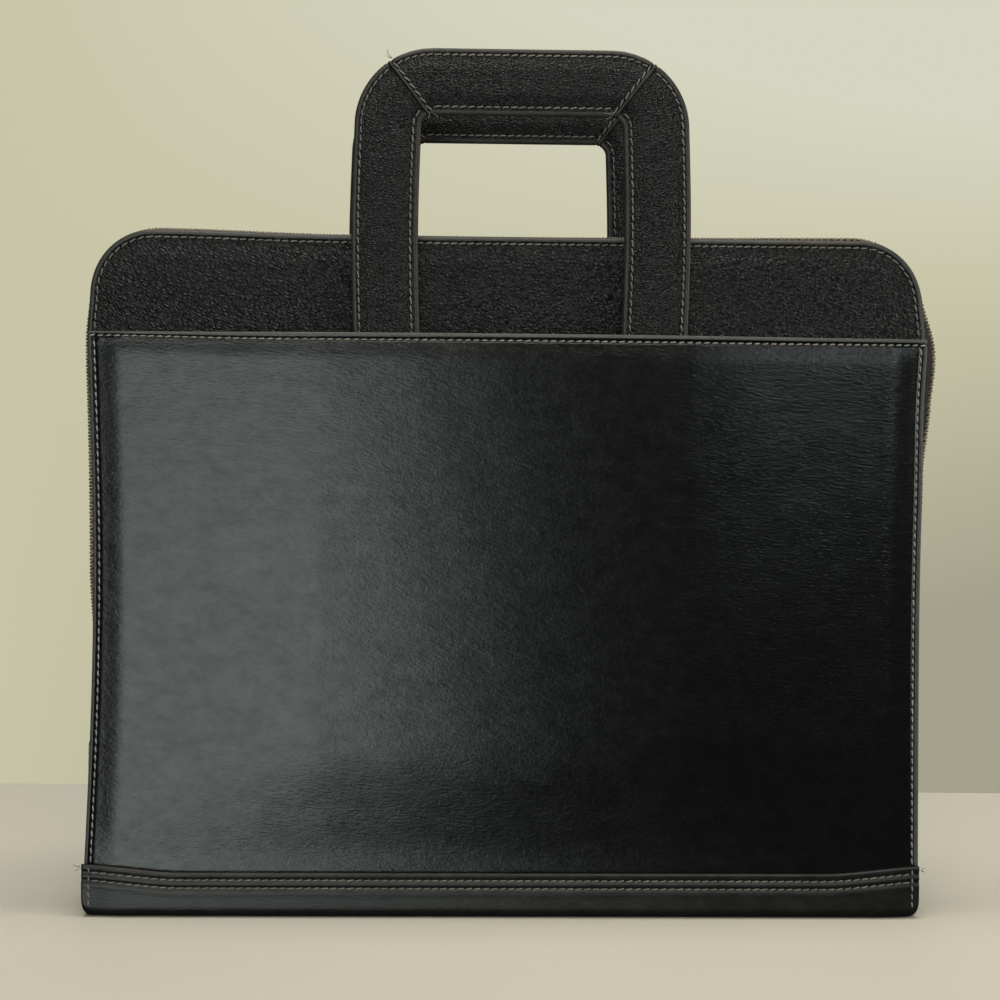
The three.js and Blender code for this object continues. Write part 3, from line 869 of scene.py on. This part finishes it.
def handle_seam(name, face, across, part):
    """Stitches along one line of a handle: up its left (-1) or right (1) leg, or along its top band (0)."""
    radius = BEND_RADIUS + across
    if part == 0:
        run = halves(2 * BEND_X)
        x = np.linspace(-BEND_X, BEND_X, run + 1)
        z = np.full(run + 1, BEND_Z + radius)
        start = float(mitre_angle(radius, -WELT_HALF - 0.0012))
        length = radius * (math.pi / 2 - start)
        if length > PITCH * 0.7:
            angle = np.linspace(start, math.pi / 2, halves(length) + 1)[:-1]
            left_x, left_z = bend_point(-1, across, angle)
            x = np.concatenate([left_x, x, -left_x[::-1]])
            z = np.concatenate([left_z, z, left_z[::-1]])
    else:
        heights, holed = leg_heights()
        z = heights[np.flatnonzero(holed)]
        stop = float(mitre_angle(radius, WELT_HALF + 0.001))
        angle = np.linspace(0, stop, halves(radius * stop) + 1)[1:]
        turn_x, turn_z = bend_point(part, across, angle)
        x = np.concatenate([leg_point(part, across, z), turn_x])
        z = np.concatenate([z, turn_z])
    return stitches(xyz(x, face * band_depth(across), z) + handle_place(name), face, longer=TIGHT)


def mitre_seam(name, face, side):
    """The chain of stitches along a mitre, on the top band's side of its welt."""
    across = np.linspace(0.0014, HANDLE_BAND - 0.0016, 40) - HANDLE_BAND / 2
    x, z = bend_point(side, across, mitre_angle(BEND_RADIUS + across, -CHAIN_INSET))
    length = np.concatenate([[0], np.cumsum(np.hypot(np.diff(x), np.diff(z)))])
    even = np.linspace(0, length[-1], halves(length[-1]) + 1)
    line = xyz(x, face * (band_depth(across) + THREAD / 2), z) + handle_place(name)
    return stitches(resampled(line, length, even), face, 1.5 * STITCH_SLANT, CHAIN_LENGTH)


# Zip
def zip_path():
    """Places round the covers' edge from the left foot over the top to the right foot, as rows of x, z and
    the outward direction's x, z, and how far along the zip each is."""
    heights = np.linspace(COVER_FOOT, CORNER_START, 90)
    turn = np.linspace(0, math.pi / 2, 22)[1:-1]
    corner_z = CORNER_START + TOP_RADIUS * np.sin(turn)
    z = np.concatenate([heights, corner_z])
    out_z = np.concatenate([0 * heights, np.sin(turn)])
    sides = []
    for side in (-1, 1):
        corner_x = side_reach(side, corner_z) - TOP_RADIUS * (1 - np.cos(turn))
        x = side * np.concatenate([side_reach(side, heights), corner_x])
        out_x = side * np.concatenate([0 * heights + 1, np.cos(turn)])
        sides.append(np.stack([x, z, out_x, out_z], axis=1))
    top = np.linspace(TOP_RADIUS - HALF_WIDTH, HALF_WIDTH - TOP_RADIUS, 90)
    flat = np.stack(np.broadcast_arrays(top, CASE_HEIGHT, 0, 1), axis=1)
    path = np.concatenate([sides[0], flat, sides[1][::-1]])
    steps = np.linalg.norm(np.diff(path[:, :2], axis=0), axis=1)
    return path, np.concatenate([[0], np.cumsum(steps)])


def zip_bulge(along):
    """How far the coil stands out at a share of the zip's length."""
    places, outs = np.array(ZIP_BULGE).T
    after = np.clip(np.searchsorted(places, along), 1, len(places) - 1)
    before = after - 1
    share = smooth((along - places[before]) / (places[after] - places[before]))
    return 2 * INSIDE_HALF * (outs[before] + (outs[after] - outs[before]) * share)


def zip_point(path, out, across):
    """Points that stand out of the covers' edge and across the case."""
    x = path[:, 0] + path[:, 2] * out
    z = path[:, 1] + path[:, 3] * out
    return xyz(x, across, z + raised(x, z))


def tape_data(side):
    """One zip tape: flat behind its cover, then round across the case to the coil."""
    path, length = zip_path()
    bulge = zip_bulge(length / length[-1])
    seat = INSIDE_HALF - FIT - TAPE_WALL / 2
    edge = COIL_WIDTH / 2 + FIT
    outs = np.stack(np.broadcast_arrays(-TAPE_SEAT, *(bulge - drop for drop in TAPE_DROPS)))
    acrosses = np.array([seat, seat, (seat + edge) / 2, edge])
    sheets = ([], [])
    for t in np.linspace(0, 1, 15):
        weights = np.array([(1 - t) ** 3, 3 * t * (1 - t) ** 2, 3 * t**2 * (1 - t), t**3])
        slopes = np.array([-((1 - t) ** 2), (1 - t) * (1 - 3 * t), t * (2 - 3 * t), t**2]) * 3
        out, slope_out = weights @ outs, slopes @ outs
        across, slope_across = weights @ acrosses, slopes @ acrosses
        size = np.hypot(slope_out, slope_across)
        for sheet, depth in zip(sheets, (TAPE_WALL / 2, -TAPE_WALL / 2)):
            moved = out - slope_across / size * depth
            sheet.append(zip_point(path, moved, side * (across + slope_out / size * depth)))
    return shell(*(np.stack(columns, axis=1) for columns in sheets))


TOOTH_RINGS = (
    # across the coil as a share of its half width, height as a share of its half height
    (-1.1, -0.4),
    (-0.95, 0.5),
    (-0.5, 1.05),
    (0.3, 1.05),
    (0.7, 0.5),
)
TOOTH_RADIUS = 0.00066
TOOTH_SIDES = 8


def teeth_data():
    """The closed chain: loops of nylon that reach over from either side in turn."""
    path, length = zip_path()
    along = np.arange(SLIDER_SHARE * length[-1], length[-1] - 0.002, TOOTH_PITCH / 2)
    place = resampled(path, length, along)
    bulge = zip_bulge(along / length[-1])
    out = xyz(place[:, 2], 0, place[:, 3])[:, None]
    towards = xyz(-place[:, 3], 0, place[:, 2])[:, None]
    turn = np.linspace(0, 2 * math.pi, TOOTH_SIDES, endpoint=False)[:, None]
    round_axis = TOOTH_RADIUS * (np.cos(turn) * towards + np.sin(turn) * out)
    parts = []
    for first, side in enumerate((-1, 1)):
        pick = slice(first, None, 2)
        rings = []
        for across, height in TOOTH_RINGS:
            reach = bulge[pick] + height * COIL_HEIGHT / 2
            centre = zip_point(place[pick], reach, -side * across * COIL_WIDTH / 2)
            rings.append(centre[:, None] + round_axis[pick])
        parts.extend(tube(tooth) for tooth in np.stack(rings, axis=1))
    return joined(parts)


# Loose ends of thread where rows of stitches were cut off
THREAD_ENDS = (
    # place on the case, and how far each thread of the tuft reaches from it
    ((-0.0496, -0.0222, 0.3645), ((-0.0013, -0.0006, 0.0034), (-0.0021, -0.0006, 0.0014))),
    ((-0.0336, -0.0232, 0.3415), ((0.0032, -0.0008, -0.0034), (-0.0012, -0.0006, -0.0026))),
    ((0.0448, -0.0232, 0.3425), ((-0.0042, -0.0008, -0.0022), (-0.0046, -0.0006, 0.0004))),
    ((-0.1785, -0.0222, 0.0222), ((-0.0024, -0.0008, 0.0012), (-0.0018, -0.001, -0.0014))),
    ((0.1785, -0.0222, 0.0212), ((0.0018, -0.0008, 0.001), (0.0014, -0.001, -0.001))),
)
THREAD_END_RADIUS = 0.00022


def thread_end(start, reach):
    """One short thread that tapers and curls a little."""
    start = np.array(start)
    reach = np.array(reach)
    side = np.cross(reach, [0, 1, 0])
    first = np.array([1, 0, 0] if abs(reach[2]) > abs(reach[0]) else [0, 0, 1])
    turn = np.linspace(0, 2 * math.pi, 6, endpoint=False)[:, None]
    round_axis = np.cos(turn) * first + np.sin(turn) * [0, 1, 0]
    rings = []
    for t in np.linspace(0, 1, 7):
        centre = start + reach * t + 0.25 * side * math.sin(2.4 * t)
        rings.append(centre + THREAD_END_RADIUS * (1 - 0.5 * t) * round_axis)
    return tube(np.array(rings))


# Materials
class Nodes:
    """A node tree whose nodes are made in one call each."""

    def __init__(self, tree):
        self.tree = tree

    def feed(self, node, inputs):
        """Sets a node's inputs, each to a value or to another node's output."""
        for name, value in inputs.items():
            if isinstance(value, bpy.types.NodeSocket):
                self.tree.links.new(value, node.inputs[name])
            else:
                node.inputs[name].default_value = value

    def add(self, kind, output, inputs, **settings):
        """An output of a new node."""
        node = self.tree.nodes.new(f"ShaderNode{kind}")
        for name, value in settings.items():
            setattr(node, name, value)
        self.feed(node, inputs)
        return node.outputs[output]

    def place(self, scale=(1, 1, 1), lean=0.0):
        """Coordinates fixed to the case, turned by lean seen from the front and stretched on each axis."""
        inputs = {"Vector": self.add("TexCoord", "Object", {}), "Rotation": (0, lean, 0), "Scale": scale}
        return self.add("Mapping", "Vector", inputs, vector_type="TEXTURE")

    def noise(self, vector, scale, detail=3.0, roughness=0.55, output="Fac"):
        """A noise texture's value."""
        inputs = {"Vector": vector, "Scale": scale, "Detail": detail, "Roughness": roughness}
        return self.add("TexNoise", output, inputs)

    def ranged(self, value, low, high, to_low, to_high):
        """A value moved from one range to another, without going past it."""
        inputs = {"Value": value, "From Min": low, "From Max": high, "To Min": to_low, "To Max": to_high}
        return self.add("MapRange", "Result", inputs)

    def maths(self, operation, *values):
        """Values and numbers put together."""
        return self.add("Math", "Value", dict(enumerate(values)), operation=operation)

    def colours(self, value, *stops):
        """A colour ramp through (position, colour) stops."""
        ramp = self.tree.nodes.new("ShaderNodeValToRGB")
        elements = ramp.color_ramp.elements
        for number, (position, colour) in enumerate(stops):
            element = elements[number] if number < 2 else elements.new(position)
            element.position = position
            element.color = (*colour, 1)
        self.feed(ramp, {"Fac": value})
        return ramp.outputs["Color"]

    def bump(self, height, distance):
        """A bump in metres."""
        return self.add("Bump", "Normal", {"Height": height, "Distance": distance, "Strength": 1.0})


def new_material(name):
    """An empty procedural material, its nodes, and what sets its shader's inputs."""
    material = bpy.data.materials.new(name)
    material.use_nodes = True
    nodes = Nodes(material.node_tree)
    shader = material.node_tree.nodes["Principled BSDF"]
    return material, nodes, lambda inputs: nodes.feed(shader, inputs)


def grained_leather(name, tint, lean, scale, size, depth):
    """Pebbled leather: rounded cells of this size with shiny tops and dull creases, over slower folds. Its
    colour is lighter on the cells' tops and darker in their creases, a painted highlight and painted shade,
    and varies in slow patches.
    """
    material, nodes, shade = new_material(name)
    vector = nodes.place(scale, lean)
    warp = nodes.noise(vector, 0.45 / size, 2.0, 0.5, "Color")
    shifts = {0: warp, 1: (size * 0.9,) * 3, 2: vector}
    warped = nodes.add("VectorMath", "Vector", shifts, operation="MULTIPLY_ADD")
    edges = nodes.add("TexVoronoi", "Distance", {}, feature="DISTANCE_TO_EDGE")
    nodes.feed(edges.node, {"Scale": 1 / size, "Vector": warped})
    cells = nodes.ranged(edges, 0.0, 0.34, 0.0, 1.0)
    patches = nodes.noise(vector, 38.0)
    folds = nodes.maths("MULTIPLY", nodes.noise(vector, 420.0, 1.0), 1.8)
    # Painted shade in the creases between cells and painted highlight on their tops, in slow random patches.
    tone = nodes.maths("MULTIPLY", cells, nodes.ranged(patches, 0.35, 0.7, 0.5, 1.0))
    dark, light = (tuple(share * c for c in tint) for share in (0.4, 1.8))
    rough = nodes.ranged(cells, 0.1, 0.9, 0.46, 0.34)
    shade({
        "Normal": nodes.bump(nodes.maths("ADD", cells, folds), depth),
        "Base Color": nodes.colours(tone, (0.1, dark), (0.9, light)),
        "Roughness": nodes.maths("ADD", rough, nodes.ranged(patches, 0.3, 0.7, -0.04, 0.06)),
        "Specular IOR Level": 0.3,
    })
    return material


def smooth_leather(name, tint, rough=(0.21, 0.26)):
    """Smooth leather: fine wrinkles, soft mottling, and faint level scratches."""
    material, nodes, shade = new_material(name)
    vector = nodes.place((1, 1, 0.6))
    fine = nodes.noise(vector, 900.0, 3.0, 0.6)
    streaks = nodes.noise(nodes.place((2.2, 1, 0.6), 0.15), 700.0, 2.0)
    mottle = nodes.noise(vector, 110.0, 5.0, 0.75)
    scratches = nodes.noise(nodes.place((20, 1, 0.3)), 260.0, 1.0)
    scratch = nodes.maths("MULTIPLY", nodes.ranged(scratches, 0.76, 0.82, 0.0, 1.0), 0.35)
    marked = nodes.maths("ADD", mottle, scratch)
    height = nodes.maths("ADD", fine, nodes.maths("MULTIPLY", streaks, 1.4))
    shade({
        "Normal": nodes.bump(height, 0.00008),
        "Base Color": nodes.colours(marked, (0.3, tint), (0.75, tuple(1.3 * c for c in tint))),
        "Roughness": nodes.ranged(marked, 0.3, 0.8, *rough),
        "Specular IOR Level": nodes.ranged(mottle, 0.3, 0.7, 0.36, 0.58),
    })
    return material


def thread_material(name, dark, light):
    """Grey sewing thread of twisted plies."""
    material, nodes, shade = new_material(name)
    plies = nodes.noise(nodes.place(), 3200.0, 2.0)
    soil = nodes.noise(nodes.place(), 60.0)
    both = nodes.maths("ADD", nodes.maths("MULTIPLY", plies, 0.5), nodes.maths("MULTIPLY", soil, 0.7))
    shade({
        "Normal": nodes.bump(plies, 0.00015),
        "Base Color": nodes.colours(both, (0.35, dark), (0.8, light)),
        "Roughness": 0.75,
    })
    return material


def tape_material():
    """Black woven tape: a fine twill of ribs."""
    material, nodes, shade = new_material("woven_tape")
    inputs = {"Vector": nodes.place(), "Scale": 420.0, "Distortion": 1.5}
    weave = nodes.add("TexWave", "Fac", inputs, bands_direction="DIAGONAL")
    lint = nodes.noise(nodes.place(), 300.0, 4.0)
    shade({
        "Normal": nodes.bump(weave, 0.00012),
        "Base Color": nodes.colours(lint, (0.3, (0.008,) * 3), (0.8, (0.03,) * 3)),
        "Roughness": 0.9,
    })
    return material


def worn_material(name, scale, detail, dark, light, rough, metallic=0.0):
    """A hard finish that is lighter and duller in spots. dark and light are (position, colour) stops."""
    material, nodes, shade = new_material(name)
    tone = nodes.noise(nodes.place(), scale, detail)
    shade({
        "Base Color": nodes.colours(tone, dark, light),
        "Roughness": nodes.ranged(tone, 0.3, 0.7, *rough),
        "Metallic": metallic,
    })
    return material


# The case
HANDLE_SIDES = {"left": -1, "right": 1}
SKINS = {
    # pebbled leather: tint, lean, stretch, size and depth of its grain
    "pebbled_leather": ((0.0026, 0.0046, 0.0052), -0.9, (1, 1, 2.1), 0.0012, 0.00037),
    "handle_leather": ((0.0026, 0.0042, 0.0048), -1.0, (1, 1, 1.8), 0.001, 0.0003),
}
SMOOTH_SKINS = {
    # smooth leather: tint and range of roughness
    "smooth_leather": ((0.0028, 0.0034, 0.0034),),
    "band_leather": ((0.006, 0.006, 0.0052), (0.36, 0.48)),
    "welt_leather": ((0.014, 0.014, 0.012), (0.4, 0.55)),
    # The three edge finishes are much lighter than the leather faces: a painted highlight along the edges of
    # the pockets, covers and handles.
    "painted_edge_highlight": ((0.05, 0.05, 0.049), (0.42, 0.55)),
    "painted_cover_edge_highlight": ((0.032, 0.03, 0.028), (0.42, 0.55)),
    "painted_handle_edge_highlight": ((0.021, 0.0195, 0.017), (0.42, 0.55)),
}
THREADS = {
    # darkest and lightest colour
    "thread": ((0.09, 0.093, 0.083), (0.24, 0.245, 0.22)),
    "clean_thread": ((0.18, 0.19, 0.18), (0.42, 0.44, 0.42)),
}


def make_looks():
    """Every finish of the case by its name."""
    looks = {name: grained_leather(name, *values) for name, values in SKINS.items()}
    looks.update({name: smooth_leather(name, *values) for name, values in SMOOTH_SKINS.items()})
    looks.update({name: thread_material(name, *values) for name, values in THREADS.items()})
    looks["woven_tape"] = tape_material()
    coil = ((0.35, (0.1, 0.08, 0.05)), (0.7, (0.24, 0.2, 0.14)), (0.3, 0.5))
    looks["coil_nylon"] = worn_material("coil_nylon", 180.0, 3.0, *coil)
    metal = ((0.4, (0.04, 0.04, 0.04)), (0.75, (0.22, 0.21, 0.2)), (0.28, 0.45))
    looks["gunmetal"] = worn_material("gunmetal", 400.0, 4.0, *metal, metallic=0.85)
    return looks


def build_case(looks):
    """Makes every piece of the case."""
    slips = {"front": handle_place("front")[0], "back": handle_place("rear")[0]}
    for name, side in {"front": -1, "back": 1}.items():
        cover_mesh = cover_data(side)
        rim = (looks["painted_cover_edge_highlight"], cover_rim(cover_mesh[0]))
        cover = dress(f"{name}_cover", cover_mesh, looks["pebbled_leather"], rim)
        pocket_mesh = pocket_data(side, slips[name])
        rim = (looks["painted_edge_highlight"], pocket_rim(pocket_mesh[0]))
        dress(f"{name}_pocket", pocket_mesh, looks["smooth_leather"], rim)
        add_piece(f"{name}_cover_stitches", cover_seam(side), looks["thread"])
        add_piece(f"{name}_pocket_stitches", pocket_seams(side, slips[name]), looks["clean_thread"])
        add_piece(f"{name}_spine_stitches", spine_seams(side), looks["thread"])
        add_piece(f"{name}_zip_tape", tape_data(side), looks["woven_tape"], [f"zip_tape_{name}"])
    dress("spine", spine_data(), looks["band_leather"])
    for name in ("front", "rear"):
        add_handle(name, looks)
    add_piece("zip_teeth", teeth_data(), looks["coil_nylon"], ["zip_coil"])
    ends = [thread_end(start, reach) for start, tuft in THREAD_ENDS for reach in tuft]
    add_piece("loose_threads", joined(ends), looks["thread"])
    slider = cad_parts["zip_slider"]
    slider.data.materials.clear()
    slider.data.materials.append(looks["gunmetal"])


def dress(node, mesh_data, look, rim=None):
    """Makes the leather piece that takes one node's place."""
    return add_piece(f"{node}_leather", mesh_data, look, [node], rim)


def add_band(node, mesh_data, looks):
    """Makes one padded band of a handle."""
    rim = (looks["painted_handle_edge_highlight"], band_rim(mesh_data[0]))
    band = dress(node, mesh_data, looks["handle_leather"], rim)


def add_handle(name, looks):
    """Makes one handle with its welts and stitches."""
    add_band(f"{name}_handle_top", top_data(name), looks)
    for end, side in HANDLE_SIDES.items():
        add_band(f"{name}_handle_leg_{end}", leg_data(name, side), looks)
        welt = welt_data(name, side)
        dress(f"{name}_handle_welt_{end}", welt, looks["welt_leather"])
    lines = (HANDLE_BAND / 2 - OUTER_SEAM, INNER_SEAM - HANDLE_BAND / 2)
    rows = [handle_seam(name, face, line, part) for face in (-1, 1) for line in lines for part in (-1, 0, 1)]
    rows += [mitre_seam(name, face, side) for face in (-1, 1) for side in HANDLE_SIDES.values()]
    add_piece(f"{name}_handle_stitches", joined(rows), looks["thread"])


# The studio
FLOOR_CORNERS = ((-3, -3), (3, -3), (3, 0.25), (0.3, 0.27), (-0.3, 0.29), (-3, 0.4))
FLOOR_DARK = (0.68, 0.66, 0.575)
FLOOR_LIGHT = (0.73, 0.71, 0.615)
# The backdrop's colours, from painted shade at the lower right through its plain middle to painted light at
# the upper right.
WALL_PAINTED_SHADE = (0.38, 0.356, 0.262)
WALL_MIDDLE = (0.578, 0.558, 0.392)
WALL_PAINTED_LIGHT = (0.672, 0.665, 0.533)
ROOM_COLOUR = (0.012, 0.013, 0.012)

LIGHTS = (
    # name, place, size, power, colour
    ("window_core", (-0.595, -1.6, -0.1), (0.71, 1.5), 3.5, (0.9, 1.0, 0.95)),
    ("window_glow", (-0.575, -1.61, -0.1), (0.75, 1.5), 2.9, (0.9, 1.0, 0.95)),
    ("window_side", (-0.53, -1.62, -0.1), (0.84, 1.5), 2.4, (0.9, 1.0, 0.95)),
    ("window_haze", (-0.49, -1.63, -0.1), (0.92, 1.5), 1.9, (0.9, 1.0, 0.95)),
    ("window_fade", (-0.47, -1.64, -0.1), (0.98, 1.5), 1.2, (0.9, 1.0, 0.95)),
    ("far_window", (0.88, -1.6, 0.66), (0.2, 0.26), 1.8, (0.88, 1.0, 1.0)),
    ("front_lamp", (0.0, -1.5, 1.5), (1.4, 0.6), 11, (1.0, 0.9, 0.76)),
    ("ceiling", (0.0, -0.2, 1.9), (1.6, 0.8), 22, (1.0, 0.96, 0.88)),
    ("back", (0.0, 1.5, 1.3), (1.4, 0.6), 4, (1.0, 0.93, 0.82)),
    ("right", (1.5, -0.4, 0.5), (0.5, 0.9), 8, (1.0, 0.94, 0.84)),
)
LIGHTS_TARGET = Vector((0, 0, 0.17))


def make_floor():
    """A pale table top that ends behind the case."""
    mesh = bpy.data.meshes.new("floor")
    mesh.from_pydata([(x, y, 0) for x, y in FLOOR_CORNERS], [], [tuple(range(len(FLOOR_CORNERS)))])
    material, nodes, shade = new_material("pale_floor")
    cloud = nodes.noise(nodes.place(), 3.0, 2.0)
    shade({"Base Color": nodes.colours(cloud, (0.3, FLOOR_DARK), (0.7, FLOOR_LIGHT)), "Roughness": 0.7})
    mesh.materials.append(material)
    floor = add_object("floor", mesh)
    floor.visible_glossy = False
    floor.visible_shadow = False


def make_lights():
    """Soft lights that look at the case."""
    for name, place, (width, height), power, colour in LIGHTS:
        light = bpy.data.lights.new(name, "AREA")
        light.shape = "RECTANGLE"
        light.size = width
        light.size_y = height
        light.energy = power
        light.color = colour
        lamp = add_object(name, light)
        lamp.location = place
        lamp.rotation_euler = (LIGHTS_TARGET - lamp.location).to_track_quat("-Z", "Y").to_euler()


def make_world():
    """A pale backdrop to the camera, with painted shade towards its lower right and painted light at its
    upper right, and a dim room to everything else.
    """
    world = bpy.data.worlds.new("room")
    world.use_nodes = True
    nodes = Nodes(world.node_tree)
    room = world.node_tree.nodes["Background"]
    nodes.feed(room, {"Color": (*ROOM_COLOUR, 1)})
    parts = nodes.add("SeparateXYZ", "X", {"Vector": nodes.add("TexCoord", "Generated", {})}).node.outputs
    # Darker towards +X and down, lighter towards +X and up: painted shade and painted light on the backdrop.
    up = nodes.maths("MULTIPLY_ADD", parts["Z"], 1.74, -0.213)
    rightward = nodes.maths("ADD", parts["X"], 0.29)
    light = nodes.ranged(nodes.maths("MULTIPLY", rightward, up), -0.19, 0.1, 0.0, 1.0)
    wall = nodes.colours(light, (0, WALL_PAINTED_SHADE), (0.66, WALL_MIDDLE), (1, WALL_PAINTED_LIGHT))
    backdrop = nodes.add("Background", "Background", {"Color": wall})
    seen = nodes.add("LightPath", "Is Camera Ray", {})
    either = nodes.add("MixShader", "Shader", {"Fac": seen, 1: room.outputs["Background"], 2: backdrop})
    nodes.feed(world.node_tree.nodes["World Output"], {"Surface": either})
    bpy.context.scene.world = world


def make_camera():
    """The photo's view of the case."""
    forward = Vector((
        math.sin(CAMERA_YAW) * math.cos(CAMERA_PITCH),
        math.cos(CAMERA_YAW) * math.cos(CAMERA_PITCH),
        math.sin(CAMERA_PITCH),
    ))
    right = Vector((math.cos(CAMERA_YAW), -math.sin(CAMERA_YAW), 0))
    down = forward.cross(right)
    rolled_right = math.cos(CAMERA_ROLL) * right + math.sin(CAMERA_ROLL) * down
    rolled_down = math.cos(CAMERA_ROLL) * down - math.sin(CAMERA_ROLL) * right
    data = bpy.data.cameras.new("camera")
    data.lens = LENS
    data.sensor_width = 36
    data.clip_start = 0.02
    camera = add_object("camera", data)
    turned = Matrix((rolled_right, -rolled_down, -forward)).transposed()
    camera.matrix_world = Matrix.Translation(CAMERA_PLACE) @ turned.to_4x4()
    bpy.context.scene.camera = camera


make_camera()
build_case(make_looks())
make_floor()
make_lights()
make_world()
bpy.context.scene.view_settings.view_transform = "Standard"
